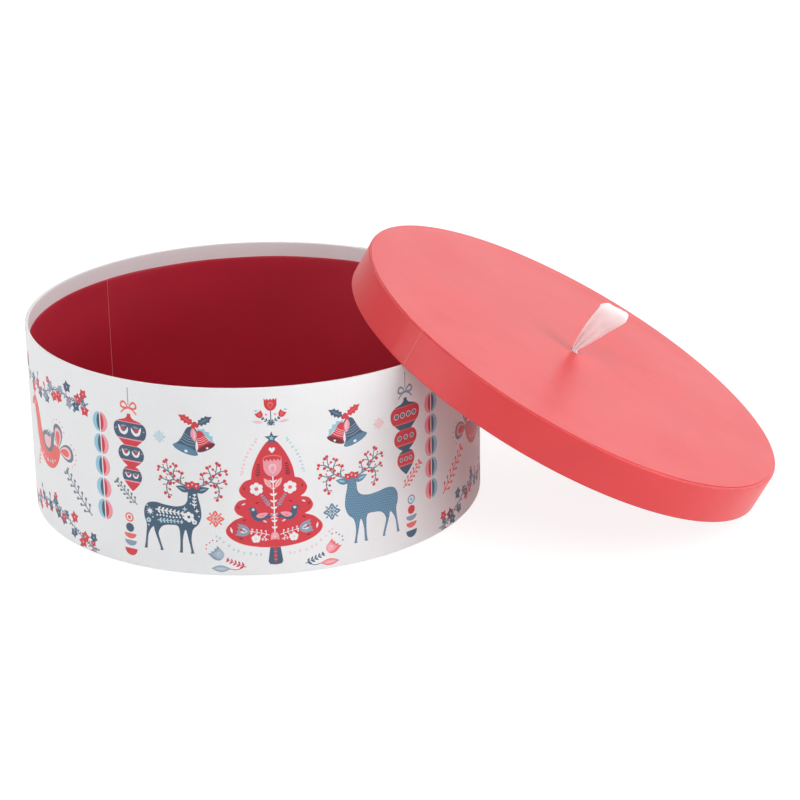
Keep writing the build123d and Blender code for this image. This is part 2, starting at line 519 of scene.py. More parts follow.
def sprig(length, pairs, name, size, tips="leaf", lean=48.0, width=0.5):
    """Straight stem along +x with pairs of leaves or berries."""
    motif = [(name, line([(0, 0), (length / 2, 0.25), (length, 0)], width, width * 0.6))]
    for number in range(pairs):
        x = length * (number + 0.6) / pairs
        for side in (-1, 1):
            tip = size * (1 - 0.35 * number / pairs)
            if tips == "leaf":
                motif.append((name, moved(leaf(tip, tip * 0.42), x, 0.1, side * lean)))
            else:
                motif.append((name, moved(line([(0, 0), (tip, 0)], width * 0.8), x, 0.1, side * lean)))
                motif.append((name, oval(width * 1.1, at=polar(tip, side * lean, x, 0.1), count=8)))
    return motif + [(name, oval(width * 1.2, at=(length, 0), count=8))]


def tulip(size, body, trim, teeth):
    """Tulip head standing on the origin, with a toothed mouth and a lighter heart."""
    half, tall = size / 2, size * 1.05
    outline = [(-half, tall)]
    outline += oval(half, tall * 0.62, (0, tall * 0.62), 12, 180, 180)[1:-1]
    outline.append((half, tall))
    for tooth in range(teeth - 1, 0, -1):
        x = -half + size * tooth / teeth
        outline += [(x + size * 0.1, tall * 0.84), (x, tall * 0.97), (x - size * 0.1, tall * 0.84)]
    motif = [(body, outline), (trim, moved(drop(tall * 0.55, size * 0.42), 0, tall * 0.16, 90))]
    return motif + [(body, moved(drop(tall * 0.36, size * 0.22), 0, tall * 0.22, 90))]


def snowflake(size, name):
    """Ice crystal: four broad arms with a notch, and four fine ones with a dot."""
    broad = [(name, moved(leaf(0.86, 0.52, 1.2), 0.14)), ("paper", moved(leaf(0.26, 0.11), 0.44))]
    fine = [(name, line([(0, 0), (0.78, 0)], 0.12)), (name, oval(0.11, at=(0.84, 0), count=8)),
            (name, line([(0.62, 0.2), (0.44, 0), (0.62, -0.2)], 0.11, steps=2))]
    return put(ring_of(fine, 4, 45) + ring_of(broad, 4) + [(name, oval(0.16, count=8))], size=size)


def berry_twig(points, berries):
    """Curving twig with short stalks and round red berries along both sides."""
    path = curve(points, 8, closed=False)
    motif = [("slate", line(points, 1.05, 0.55))]
    for number in range(berries):
        step = int((number + 1.0) / (berries + 0.4) * (len(path) - 2))
        (x, y), (ax, ay) = path[step], path[step + 1]
        away = math.degrees(math.atan2(ay - y, ax - x)) + (58 if number % 2 else -58)
        reach = 1.9 + 0.7 * ((number * 7) % 3) / 2
        tip = polar(reach, away, x, y)
        size = (1.14, 0.56, 0.88)[number % 3]
        motif.append(("slate", line([(x, y), tip], 0.58, 0.42, 1)))
        motif.append(("red", oval(size, at=tip, count=10)))
    return motif + [("red", oval(1.12, at=points[-1], count=10))]


def antlers():
    """Pair of berry-branch antlers about the top of the head."""
    one = berry_twig([(1.4, 0), (6.5, 1.2), (11.5, 4.2), (14.6, 9.5), (15.6, 16.2)], 7)
    one += berry_twig([(14.0, 8.2), (17.5, 10.6), (21.0, 11.2)], 3)
    one += berry_twig([(11.6, 4.4), (11.2, 9.0), (9.3, 13.0)], 3)
    one += berry_twig([(6.4, 1.2), (6.9, 4.6), (5.6, 8.4)], 3)
    one += berry_twig([(11.0, 3.8), (15.5, 2.6), (20.0, 4.6)], 3)
    one += berry_twig([(14.6, 3.0), (16.4, -2.0), (14.9, -8.4)], 5)
    return both(put(one, 0.6))


def deer_outline():
    """Side of a standing deer whose head faces the viewer: neck over x = 0, hooves on y = 0."""
    return curve([
        (-2.6, 43.6), (-3.3, 39.5), (-3.8, 35.6), (-6.2, 32.6), (-11.5, 31.2), (-18.5, 31.6), (-25.0, 32.6),
        (-30.4, 31.4), (-33.2, 27.4), (-33.6, 22.0), (-32.2, 16.6), (-33.0, 9.0), (-34.2, 1.9), (-34.9, 0),
        (-34.9, 0), (-32.6, 0), (-32.6, 0), (-31.6, 8.6), (-29.6, 13.4), (-27.4, 15.6), (-26.7, 12.6),
        (-24.7, 6.4), (-23.3, 1.7), (-23.6, 0), (-23.6, 0), (-21.2, 0.2), (-21.2, 0.2), (-23.3, 7.4),
        (-24.0, 12.4), (-20.8, 17.0), (-15.0, 18.3), (-10.4, 17.6), (-9.5, 10.0), (-10.0, 1.8), (-10.7, 0),
        (-10.7, 0), (-8.2, 0), (-8.2, 0), (-7.7, 9.6), (-5.7, 16.0), (-4.1, 9.6), (-2.7, 1.9), (-3.2, 0),
        (-3.2, 0), (-0.7, 0), (-0.7, 0), (-2.1, 8.4), (-0.9, 16.2), (2.8, 20.2), (4.9, 25.6),
        (4.7, 32.0), (3.4, 38.4), (2.8, 43.6), (1.5, 45.6), (-1.3, 45.6)], 4)


def inside(point, outline):
    """Whether a point lies within an outline."""
    x, y = point
    odd = False
    for (ax, ay), (bx, by) in zip(outline, outline[1:] + outline[:1]):
        if (ay > y) != (by > y) and x < (bx - ax) * (y - ay) / (by - ay) + ax:
            odd = not odd
    return odd


def deer(coat, marks):
    """Plain deer with ears, a garland of flowers and berry antlers."""
    ear = [(coat, leaf(9.4, 4.4, 0.8)), (marks, moved(leaf(5.4, 1.3, 0.8), 2.6, 0))]
    brow = put(ear, 1.9, 42.3, 17) + put([("wine", leaf(2.8, 1.6))], 2.4, 46.8, 28)
    motif = put(antlers(), 0, 45.6) + both(brow) + [(coat, deer_outline())]
    for x, y in ((-2.6, 46.0), (0, 47.0), (2.6, 46.0)):
        motif += put(flower(5, 2.2, "red", "rose"), x, y)
    return motif


def patterned_deer():
    """Dark deer: sprigs, stars and dots reversed out of its coat."""
    motif = deer("navy", "mist") + laid(
        (sprig(18.6, 7, "paper", 3.3, width=0.75), -25.6, 27.7, -3),
        (sprig(16.6, 7, "ice", 2.5, width=0.6), -24.4, 20.5, 2),
        (sprig(9.0, 4, "paper", 2.2, width=0.55), 0.8, 31.2, 87),
        ([("paper", star(8, 2.9, 1.1))], -29.4, 25.8), ([("ice", star(4, 1.9, 0.7))], -5.6, 29.9),
        ([("paper", star(4, 1.7, 0.6))], 2.2, 29.2), (flower(6, 3.6, "paper", "navy", 0.28), -3.2, 24.8),
        (flower(5, 1.7, "paper", "navy", 0.3), 0.3, 21.6), (flower(5, 1.7, "ice", "navy", 0.3), -30.6, 19.6))
    for k in range(9):
        motif.append(("paper", oval(0.66, at=(-24.4 + 2.2 * k, 23.9 + 0.3 * math.sin(k)), count=8)))
    for spot in ((-30.8, 16.2), (-8.2, 20.4), (-27.6, 22.0), (-31.2, 29.4), (3.4, 25.6), (-1.6, 34.0),
                 (-1.8, 38.4)):
        motif.append(("ice", oval(0.62, at=spot, count=8)))
    return motif


def dotted_deer():
    """Blue deer with close rows of pale dots that follow its back."""
    motif = deer("blue", "sky")
    body = deer_outline()
    for row in range(26):
        for column in range(30):
            x = -35.2 + 1.42 * column + 0.71 * (row % 2)
            y = 0.8 + 1.7 * row + 0.7 * math.sin(x * 0.22)
            near = [(x + dx, y + dy) for dx in (-0.75, 0.75) for dy in (-0.75, 0.75)]
            if all(inside(corner, body) for corner in near):
                motif.append(("sky", oval(0.27, at=(x, y), count=5)))
    return motif


def tree_outline():
    """Four-tiered rounded tree, 19.5 to 90.5 mm up."""
    half = curve([
        (0, 90.6), (3.6, 89.0), (8.6, 81.4), (12.2, 72.6), (13.4, 65.4), (13.4, 65.4), (17.8, 63.6),
        (20.9, 58.6), (19.6, 54.6), (16.6, 52.2), (16.6, 52.2), (21.6, 50.8), (24.3, 46.2), (22.6, 42.4),
        (18.9, 40.4), (18.9, 40.4), (25.0, 37.8), (29.9, 32.0), (28.2, 26.8), (20.5, 22.2), (9.5, 19.9),
        (0, 19.4)], 5, closed=False)
    return half + [(-x, y) for x, y in half[-2:0:-1]]


def little_bird():
    """Sitting bird facing +x."""
    body = curve([(-7.2, 1.6), (-4.0, 0.4), (-1.0, -1.4), (3.0, -1.0), (5.4, 1.8), (6.6, 5.6), (8.4, 6.0),
                  (6.6, 7.4), (4.6, 7.9), (2.6, 6.6), (1.6, 4.0), (-1.6, 3.2), (-5.0, 3.6)], 4)
    wing = curve([(-4.8, 4.4), (-2.0, 1.0), (1.6, 0.9), (2.2, 2.6), (-0.6, 4.2)], 4)
    return [("navy", body), ("pink", wing), ("coral", moved(leaf(3.6, 0.8), -3.0, 2.9, -18)),
            ("paper", oval(1.0, 0.9, (4.7, 6.2), 10)), ("navy", oval(0.36, at=(4.9, 6.3), count=6)),
            ("rose", moved(leaf(3.4, 1.1), -6.6, 1.0, 160)), ("mist", moved(leaf(3.2, 0.9), -6.2, 2.6, 142))]


def tree():
    """Folk tree with its star, trunk and everything that hangs on it."""
    motif = [("navy", [(-3.0, 21), (3.0, 21), (4.6, 9.6), (3.6, 7.8), (0, 7.3), (-3.6, 7.8), (-4.6, 9.6)])]
    for k in range(4):
        motif += put([("red", heart(2.0 - 0.1 * k))], 0, 17.4 - 2.6 * k, 180 * (k % 2))
    motif += [("coral", moved(oval(1.3, 0.35, count=8), 0, 18.7 - 2.6 * k)) for k in range(1, 4)]
    motif.append(("coral", [(x * 1.012, (y - 55) * 1.008 + 55) for x, y in tree_outline()]))
    motif.append(("red", tree_outline()))
    motif += laid(
        ([("navy", star(5, 4.6, 1.9)), ("sky", star(5, 1.9, 0.8))], 0, 92.0),
        ([("paper", heart(3.8))], 0, 84.2), ([("coral", oval(6.0, 2.6, (0, 78.6), 14, 0, 180))],),
        ([("red", oval(5.4, 1.9, (0, 78.3), 14, 0, 180))],), (tulip(11.6, "pink", "rose", 5), 0, 66.6),
        ([("paper", line([(0, 67), (0.15, 45), (0, 24.5)], 0.75))],))
    for k in range(9):
        motif += both(put([("paper", leaf(3.2 - 0.12 * k, 1.15, 0.8))], 0, 62.6 - 4.4 * k, 38))
    half = laid(
        (nested(leaf, ("coral", 0, 9.4, 3.8), ("rose", 0.9, 7.6, 2.6), ("coral", 1.6, 6, 0.6)),
         0.6, 58.4, 56),
        (sprig(8.4, 5, "wine", 2.2, width=0.4), 9.6, 66.6, 96),
        (flower(6, 4.3, "paper", "coral"), 10.4, 58.8),
        (sprig(9.2, 5, "mist", 2.2, width=0.4), 2.4, 46.6, 58), (little_bird(), 9.0, 38.6, 6, 0.98),
        (tulip(8.0, "mist", "paper", 3), 15.6, 30.0, -76), ([("red", oval(1.0, count=10))], 20.8, 31.6),
        (sprig(11.6, 4, "paper", 2.3, "berry", 62, 0.5), 3.4, 27.6, 14),
        (flower(5, 2.9, "paper", "rose", 0.25), 11.8, 25.4),
        (sprig(6, 3, "paper", 1.6, width=0.35), 4, 24.4, 6),
        ([("paper", leaf(4.4, 1.3))], 26.4, 29.2, 78), ([("paper", leaf(2.8, 0.9))], 17.4, 49.4, -24),
        ([("rose", leaf(3.0, 1.2))], 4.6, 36.2, 30))
    for place in ((17.6, 58.0, 70), (9.2, 50.2, -30), (17.2, 38.6, -20), (19.8, 25.4, 12), (21.4, 45.6, 62)):
        half += put([("wine", leaf(2.8, 1.0))], *place)
    return motif + both(half) + put(tulip(5.4, "pink", "rose", 2), 0, 29.6, 180)


def bouquet():
    """Three tulips with crossed sprigs, above the tree."""
    half = laid(
        (tulip(4.4, "red", "coral", 2), 5.6, 105.8, -32), ([("sky", leaf(2.6, 1.0))], 7.8, 110.6, -10),
        ([("rose", leaf(7.0, 1.9))], 4.6, 102.4, 10), ([("pink", heart(1.7))], 2.8, 107.6),
        (sprig(8.6, 4, "navy", 2.4, width=0.55), -2.2, 100.6, 32))
    center = [("navy", line([(0, 110.6), (0, 101.6)], 0.6))] + put(tulip(8.0, "red", "coral", 4), 0, 110.0)
    return center + both(half)


def dotted_arc(first, middle, last, name, count=11):
    """Row of small drops along an arc."""
    path = curve([first, middle, last], 40, closed=False)
    motif = []
    for k in range(count):
        step = int(k / (count - 1) * (len(path) - 2))
        (x, y), (ax, ay) = path[step], path[step + 1]
        across = math.degrees(math.atan2(ay - y, ax - x)) + 90
        motif += put([(name, drop(2.5 if k % 2 else 1.7, 1.35, 8))], x, y, across)
    return motif


def corner_tulip(body, trim, stalk, line_ink):
    """Tulip, leaf and sprig in the corner under the tree."""
    shadow = [(line_ink, tulip(8.4, body, trim, 3)[0][1])]
    motif = laid((shadow, -33.6, 11.4, 42), (tulip(6.6, body, trim, 3), -32.9, 12.2, 42))
    for k in range(5):
        motif.append((stalk, oval(0.55, at=polar(6.4 + 0.6 * (k % 2), 84 + 22 * k, -37.0, 17.4), count=6)))
    motif += laid(
        (sprig(12.6, 5, stalk, 3.2, width=0.6), -18.6, 6.2, 157),
        (nested(leaf, (line_ink, 0, 12.4, 4.6), (body, 1.0, 10.4, 3.2), (trim, 2.4, 7, 0.9)), -40.6, 5.0))
    return motif + [(stalk, line([(-28.6, 5.0), (-24.6, 4.4), (-20.4, 6.0)], 0.5))]


def holly(name, vein):
    """Spiny holly leaf along +x."""
    top = [(0, 0), (1.6, 1.0), (2.4, 2.4), (3.8, 1.6), (5.0, 2.8), (6.4, 1.7), (7.8, 2.5), (8.8, 1.2),
           (11.2, 0)]
    return [(name, top + [(x, -y) for x, y in top[-2:0:-1]]), (vein, moved(leaf(7.4, 0.45), 1.6, 0))]


def bell(body, trim, mouth):
    """Bell hanging down from the origin."""
    side = curve([(1.2, 0), (3.0, -1.6), (3.8, -6.0), (4.9, -10.6), (7.4, -13.8)], 4, closed=False)
    motif = [(body, [(-x, y) for x, y in side] + side[::-1])]
    motif += [(mouth, oval(7.4, 2.2, (0, -13.8), 18)), ("paper", oval(1.0, 0.8, (0.6, -14.4), 8))]
    for half, y in ((3.5, -4.95), (3.9, -6.35), (4.3, -7.75), (5.0, -9.35)):
        upper = [(-half, y), (0, y - 0.8), (half, y)]
        motif.append((trim, upper + [(x, z - 0.4) for x, z in upper[::-1]]))
    return motif


def bells():
    """Pair of bells under a knot with three holly leaves."""
    motif = laid(
        (holly("sky", "paper"), 1.0, -1.6, -44, 1.35), (bell("red", "rose", "wine"), 1.2, -3.4, 26, 0.86),
        (bell("navy", "mist", "blue"), -1.4, -1.0, -20, 1.16),
        ([("pink", leaf(9.4, 4.0, 0.9)), ("rose", moved(leaf(8, 1.2), 0.6, 0.4))], -1.6, -1.2, -84),
        (holly("red", "coral"), -1.0, 1.0, 148), (holly("navy", "mist"), 1.2, 0.8, 30))
    return motif + [("red", oval(1.5, at=spot, count=10)) for spot in ((-1.3, -0.4), (1.1, 0.2), (-0.1, 1.4))]


def bauble(outline, body, cap, band, levels):
    """Turned bauble: outline is its right half from the top, levels are its cap's foot and its base's top."""
    side = curve(outline, 4, closed=False)
    whole = side + [(-x, y) for x, y in side[::-1]]
    upper, lower = levels
    motif = [(body, whole)]
    for name, low, high in ((cap, upper, 140), (cap, 0, lower), (band, upper - 0.5, upper),
                            (band, lower - 0.9, lower)):
        motif.append((name, clipped(whole, (-20, low), (20, high))))
    return motif


def ornament(body, cap, band, bow):
    """Three turned baubles, one growing from another, hung by a bow."""
    motif = [("slate", line([(0, 120.4), (0, 109.0)], 0.5))]
    loop = [(bow, drop(6.4, 5.4)), ("paper", moved(drop(3.9, 2.6), 1.3, 0))]
    motif += both(put(loop, 0, 107.4, 20) + [(bow, line([(0, 107.2), (3.2, 105.8), (5.6, 103.2)], 1.3, 0.9))])
    motif += bauble([(1.3, 103.2), (1.5, 101.4), (3.4, 99.6), (7.8, 98.2), (11.2, 95.6), (12.0, 92.0),
                     (11.0, 88.2), (8.2, 85.2), (4.6, 82.0)], body, cap, band, (97.6, 86.6))
    motif += bauble([(4.4, 82.2), (7.6, 80.6), (9.4, 77.0), (8.8, 73.4), (6.2, 70.4), (2.6, 67.8)],
                    body, cap, band, (82.1, 72.2))
    return motif + bauble([(2.4, 68.2), (5.4, 66.4), (7.1, 62.8), (6.7, 59.2), (4.4, 55.6), (0.3, 51.4)],
                          body, cap, band, (65.9, 58.4))


# Where the middle of each bauble is, and its size beside the first
BAUBLES = ((91.8, 1.0), (76.8, 0.78), (61.9, 0.58))


def feathered_ornament():
    """Dark baubles with pairs of curled feathers."""
    motif = ornament("navy", "red", "pink", "coral")
    feather = curve([(-3.6, 2.4), (-3.6, -0.6), (-1.2, -3.0), (2.0, -2.2), (3.4, 1.0), (3.4, 3.2), (2.0, 1.6),
                     (1.2, -0.4), (-0.6, -1.0), (-2.2, 0.4)], 4)
    pair = [("paper", feather), ("red", moved(drop(3.6, 2.2), -1.8, 0.6, 4))]
    pair.append(("mist", moved(leaf(5.0, 1.3), -2.8, 3.0, -6)))
    for y, size in BAUBLES:
        motif += both(put(pair, 4.9 * size, y, 0, size))
        motif += both([("pink", oval(0.55 * size, at=(10.2 * size, y + 0.6), count=6))])
    return motif


def ringed_ornament():
    """Red baubles with a belt of rings."""
    motif = ornament("red", "navy", "coral", "mist")
    for (y, size), count in zip(BAUBLES, (4, 3, 3)):
        for k in range(count):
            spot = ((k - (count - 1) / 2) * 19.6 * size / count, y)
            for name, radius in (("paper", 2.0), ("navy", 1.55), ("mist", 0.65)):
                motif.append((name, oval(radius * size ** 0.6, at=spot, count=12)))
    return motif


def stack(ring, dot, ball, upper, middle, lower):
    """Ring round a dot, a ball and three bowls, one under another."""
    motif = [(ring, oval(3.2, at=(0, 33.0))), ("paper", oval(2.2, at=(0, 33.0)))]
    motif += [(dot, oval(1.3, at=(0, 33.0), count=12)), (ball, oval(3.05, at=(0, 26.0)))]
    bowls = ((upper, 22.0, 4.6, 3.6), (middle, 17.3, 4.5, 3.8), (lower, 11.7, 4.7, 4.9))
    for name, top, half, tall in bowls:
        motif.append((name, oval(half, tall, (0, top), 14, 180, 180)))
    return motif


def chain():
    """Five split discs, one under another, each half with a darker core."""
    motif = []
    for number in range(5):
        y = 93.4 - 14.8 * number
        for side, start, pale_ink, dark_ink in ((-0.45, 90, "sky", "navy"), (0.45, -90, "pink", "red")):
            motif.append((pale_ink, oval(5.7, 6.8, (side, y), 16, start, 180)))
            motif.append((dark_ink, oval(2.5, 5.6, (side, y), 14, start, 180)))
    return motif


def branch(points, blooms, inks):
    """Flowering branch: a bent stem with small open flowers, buds and leaves on both sides."""
    path = curve(points, 10, closed=False)
    motif = [("slate", line(points, 0.9, 0.45))]
    for number in range(blooms):
        step = int((number + 0.5) / blooms * (len(path) - 2))
        (x, y), (ax, ay) = path[step], path[step + 1]
        along = math.degrees(math.atan2(ay - y, ax - x))
        away = along + (70, -58, -96, 46, -76, 100, 28)[number % 7]
        reach = (4.2, 3.4, 6.8, 6.4, 2.2, 3.0, 5.2)[number % 7]
        spot = polar(reach, away, x, y)
        motif.append(("slate", line([(x, y), spot], 0.44, 0.34, 1)))
        size = (4.4, 3.0, 3.9, 2.0, 4.5)[number % 5]
        name = inks[number % len(inks)]
        if number % 5 == 3:
            motif += put([(name, drop(4.0, 2.6))], *spot, away)
        else:
            eye = "rose" if name == "red" else "sky"
            bloom = [(name, star(5, size, 0.62 * size)), (eye, oval(0.14 * size, count=8))]
            motif += put(bloom, *spot, 17 * number)
        motif += put([("mist", leaf(3.4, 1.5))], x, y, away + 150)
        motif += put([("navy", leaf(2.2, 1.0))], x, y, away - 120)
    return motif


def big_bird():
    """Bird facing -x, with a raised head, a scalloped wing and a tail of two curled feathers."""
    motif = [("coral", curve([
        (13.4, -1.0), (11.6, -8.0), (4.8, -14.2), (-4.6, -15.6), (-13.6, -11.0), (-18.0, -2.6), (-19.6, 8.2),
        (-21.4, 15.6), (-24.8, 16.2), (-28.4, 15.0), (-25.4, 19.6), (-20.8, 21.8), (-15.0, 20.2),
        (-11.8, 13.0), (-9.6, 4.4), (-4.0, 0.0), (3.6, 0.6)], 5))]
    feather = nested(drop, ("slate", 0, 15.5, 10.4), ("rose", 0.6, 12.6, 7.4), ("coral", 1.6, 9.6, 4.6))
    for k in range(6):
        turn = math.radians(24 * k - 66)
        feather.append(("coral", oval(0.5, at=(9.6 + 8.4 * math.cos(turn), 7.6 * math.sin(turn)), count=6)))
    wing = curve([(-9.0, 3.0), (-6.6, -4.4), (0.6, -5.8), (6.0, -1.0), (8.6, 8.4), (8.6, 8.4), (3.4, 5.8),
                  (-3.0, 6.4)], 4)
    motif += laid((feather, 11.6, -1.2, 82), (feather, 12.4, -1.6, 2), ([("slate", wing)],),
                  ([("rose", wing)], -1.2, -0.2, 0, 0.62))
    motif += [("mist", moved(leaf(6.4, 1.6), -3.0 + 3.0 * k, 3.2, 52)) for k in range(3)]
    for k in range(7):
        spot = (-14.6 + 3.5 * k, -6.4 - 5.4 * math.sin(math.pi * (k + 0.5) / 8))
        motif += put(flower(5, 1.3, "rose", "coral") if k % 2 else [("paper", oval(0.6, count=6))], *spot)
    motif += laid(([("red", leaf(4.4, 1.6))], -19.6, 20.4, 110), ([("red", leaf(3.8, 1.4))], -18.0, 20.2, 78))
    motif.append(("paper", oval(1.1, at=(-20.4, 18.0), count=10)))
    return motif + [("navy", oval(0.5, at=(-20.5, 18.0), count=6))]


def half_print(animal, hanging, flakes, corner, berry, twig, bowls, blooms, plumage, drops):
    """Everything from the middle of the tree to the middle of the bird panel, on the left."""
    motif = laid(
        (animal, -50.4, 14.2), (bells(), -46.8, 100.2), (snowflake(4.2, flakes[0]), -70.4, 91.2),
        (snowflake(5.8, flakes[1]), -36.6, 38.8), (hanging, -91.4), (corner_tulip(*corner),),
        (sprig(20.0, 6, berry, 3.4, "berry", width=0.8), -88.8, 42.6, 137),
        (stack(*bowls), -95.3), (chain(), -114.6),
        (inked(big_bird(), plumage), -174.4, 62.6, 3, 1.14),
        (sprig(34.0, 7, berry, 5.0, "berry", 50, 1.05), -127.0, 26.2, 136),
        (sprig(22.0, 6, twig, 3.2, "leaf", 46, 0.5), -199.0, 38.0, 62))
    motif += branch([(-126.5, 101.4), (-140.0, 101.6), (-158.0, 103.4), (-178.0, 97.0), (-200.0, 97.6),
                     (-226.0, 105.0)], 32, blooms[0])
    motif += branch([(-125.0, 3.0), (-141.0, 9.3), (-159.0, 18.3), (-178.0, 20.0), (-198.0, 14.7),
                     (-224.0, 8.6)], 30, blooms[1])
    motif += dotted_arc((-10.2, 92.2), (-17.2, 80.6), (-20.4, 69.0), drops[0])
    return motif + dotted_arc((-37.0, 26.2), (-24.6, 16.4), (-9.2, 13.2), drops[1], 10)


def panel_heart():
    """Heart of tulips between two birds, about the middle of their panel."""
    half = laid((tulip(6.0, "mist", "sky", 3), 4.6, 36.0, -48), ([("coral", leaf(7.0, 2.4))], 0.6, 33.4, 18))
    return both(half) + laid(
        ([("red", heart(20.0)), ("rose", heart(15.0)), ("red", heart(11.0))], 0, 66.0),
        (flower(6, 3.6, "paper", "coral"), 0, 66.6), (tulip(8.4, "red", "coral", 4), 0, 80.0),
        (sprig(22.0, 6, "navy", 3.4, width=0.5), 0, 32.0, 90))


def whole_print(width):
    """One repeat of the print: the left half, its mirror in other inks, the tree, and the panel's middle."""
    left = half_print(
        patterned_deer(), feathered_ornament(), flakes=("ice", "coral"),
        corner=("haze", "ice", "red", "mist"), berry="slate", twig="coral",
        bowls=("coral", "coral", "navy", "coral", "mist", "red"),
        blooms=(("red", "navy", "red", "mist"), ("red", "red", "navy", "navy")), plumage={},
        drops=("rose", "ice"))
    right = half_print(
        dotted_deer(), ringed_ornament(), flakes=("rose", "blue"), corner=("pink", "rose", "navy", "coral"),
        berry="coral", twig="mist", bowls=("mist", "sky", "red", "mist", "coral", "navy"),
        blooms=(("navy", "red", "red", "mist"), ("wine", "navy", "red", "navy")),
        plumage={"coral": "red", "rose": "pink"}, drops=("ice", "rose"))
    edges = put(panel_heart(), -width / 2) + put(panel_heart(), width / 2)
    return left + put(right, flip=True) + tree() + bouquet() + edges


# ---------------------------------------------------------------- the printed wrap

PERIOD = math.pi * BOX_R / MM
FOOT_ROUND = 0.5
RIM_ROUND = 0.8
WALL_LOW = HEM_Z / MM + FOOT_ROUND
WALL_HIGH = BOX_H / MM - RIM_ROUND
PRINT_MARGIN = 0.2
COLUMNS = 120


def seam_across(azimuth):
    """Where an azimuth falls across one repeat of the print, in millimetres."""
    across = (azimuth - TREE_AT) % 180 / 180 * PERIOD
    return across - PERIOD if across > PERIOD / 2 else across


def wall_lines():
    """Upright lines that keep the wall round, and those that the wrap's lap needs."""
    seam = seam_across(WRAP_SEAM)
    lines = [PERIOD * (number / COLUMNS - 0.5) for number in range(COLUMNS + 1)]
    return sorted(lines + [seam, seam - CUT / MM, seam + LAP / MM, seam + (LAP + LAP_EASE) / MM])


def inked_triangles():
    """One repeat of the flat print cut into triangles, each with the ink that lies uppermost on it."""
    half = PERIOD / 2
    low, high = (-half, WALL_LOW + PRINT_MARGIN), (half, WALL_HIGH - PRINT_MARGIN)
    names, points, faces = ["paper"], [], [[0, 1, 2, 3]]
    points += [(-half, WALL_LOW), (half, WALL_LOW), (half, WALL_HIGH), (-half, WALL_HIGH)]
    for name, outline in whole_print(PERIOD):
        outline = clipped(outline, low, high)
        if len(outline) > 2:
            faces.append(list(range(len(points), len(points) + len(outline))))
            points += outline
            names.append(name)
    edges = []
    for x in wall_lines():
        edges.append((len(points), len(points) + 1))
        points += [(x, WALL_LOW), (x, WALL_HIGH)]
    points = [Vector(point) for point in points]
    flat, _, triangles, _, _, covers = delaunay_2d_cdt(points, edges, faces, 0, 1e-6, True)
    inks = [ink_index[names[max(over)]] for over in covers if over]
    return flat, [triangle for triangle, over in zip(triangles, covers) if over], inks


def print_turn(x, repeat):
    """Azimuth, in radians, of a place across the flat print."""
    return math.radians(TREE_AT) + (x + repeat * PERIOD) * MM / BOX_R


def wrap_point(turn, radius, height):
    """A point of the wrap, lifted at the lap and a little uneven as hand-covered board is."""
    lift = lap_rise(turn, WRAP_SEAM, LAP, BOX_R)
    out = up = 0.0
    if radius > BOARD_R + PAPER / 2:
        bend = min(max((height / MM - WALL_HIGH) / RIM_ROUND, 0.0), 1.0) * math.pi / 2
        out, up = math.cos(bend), math.sin(bend)
    elif height > BOX_H - PAPER / 2:
        up = 1.0
    elif radius < TURN_IN_R + PAPER / 2 and height > TURN_IN_Z - PAPER:
        out = -SHOWN_INSIDE
    dent = UNEVEN + waver(turn, 1.0, UNEVEN)
    radius += out * (lift - dent)
    height += up * (lift - dent)
    return radius * math.cos(turn), radius * math.sin(turn), height


def printed_wrap():
    """The whole sheet: printed wall, rounded rim, turn-in, hem and the back that lies on the board."""
    flat, triangles, inks = inked_triangles()
    points, faces = [], []
    for repeat in (0, 1):
        start = len(points)
        points += [wrap_point(print_turn(x, repeat), BOX_R, z * MM) for x, z in flat]
        faces += [tuple(start + number for number in triangle) for triangle in triangles]
    rim = fillet((BOX_R, BOX_H), (BOX_R, 0), (0, BOX_H), RIM_ROUND * MM, 4)
    rim += fillet((TURN_IN_R, BOX_H), (BOX_R, BOX_H), (TURN_IN_R, 0), 0.7 * MM, 4)
    inner = [(TURN_IN_R, LINER_TOP + step * MM) for step in (6, 3, 1, -1)] + [(TURN_IN_R, TURN_IN_Z)]
    back = [(BASE_R, TURN_IN_Z), (BASE_R, BOX_H - PAPER), (BOARD_R, BOX_H - PAPER), (BOARD_R, HEM_Z + PAPER),
            (BOX_R - HEM_REACH, HEM_Z + PAPER), (BOX_R - HEM_REACH, HEM_Z), (SOLE_R, HEM_Z)]
    foot = fillet((BOX_R, HEM_Z), (0, HEM_Z), (BOX_R, BOX_H), FOOT_ROUND * MM)
    profile = rim + inner + back + foot
    turns = [print_turn(x, repeat) for repeat in (0, 1) for x in wall_lines()[:-1]]
    start, count = len(points), len(profile)
    for turn in turns:
        points += [wrap_point(turn, radius, height) for radius, height in profile]
    for column in range(len(turns)):
        near, far = start + column * count, start + (column + 1) % len(turns) * count
        faces += [(near + row, near + row + 1, far + row + 1, far + row) for row in range(count - 1)]
    indices = inks * 2 + [0] * (len(faces) - 2 * len(inks))
    wrap = piece("printed_wrap", points, faces, ink_materials, "box", ("outer_wrap",),
                 indices)
    round_wall(wrap.data)


def round_wall(mesh):
    """Truly round shading for the wall, away from its lap's edge."""
    normals = []
    for vertex in mesh.vertices:
        x, y, z = vertex.co
        on_wall = math.hypot(x, y) > BOX_R - 0.3 * MM and WALL_LOW * MM < z < WALL_HIGH * MM - 0.1 * MM
        round_here = on_wall and abs(past_seam(math.atan2(y, x), WRAP_SEAM, BOX_R)) > 0.2 * MM
        normals.append(Vector((x, y, 0)).normalized() if round_here else Vector((0, 0, 0)))
    mesh.normals_split_custom_set_from_vertices(normals)


# ---------------------------------------------------------------- linings and base

def disc_mesh(top, low, radii, turns, surface):
    """Thin round sheet: its upper face on rings that surface() may lift, its under face flat."""
    profile = [(radius, top) for radius in radii] + [(radii[-1], low), (radii[0], low)]

    def shift(turn, radius, height, row):
        out, up = surface(turn, radius)
        return out, up if row < len(radii) else 0.0

    return ring_mesh(profile, turns, shift)


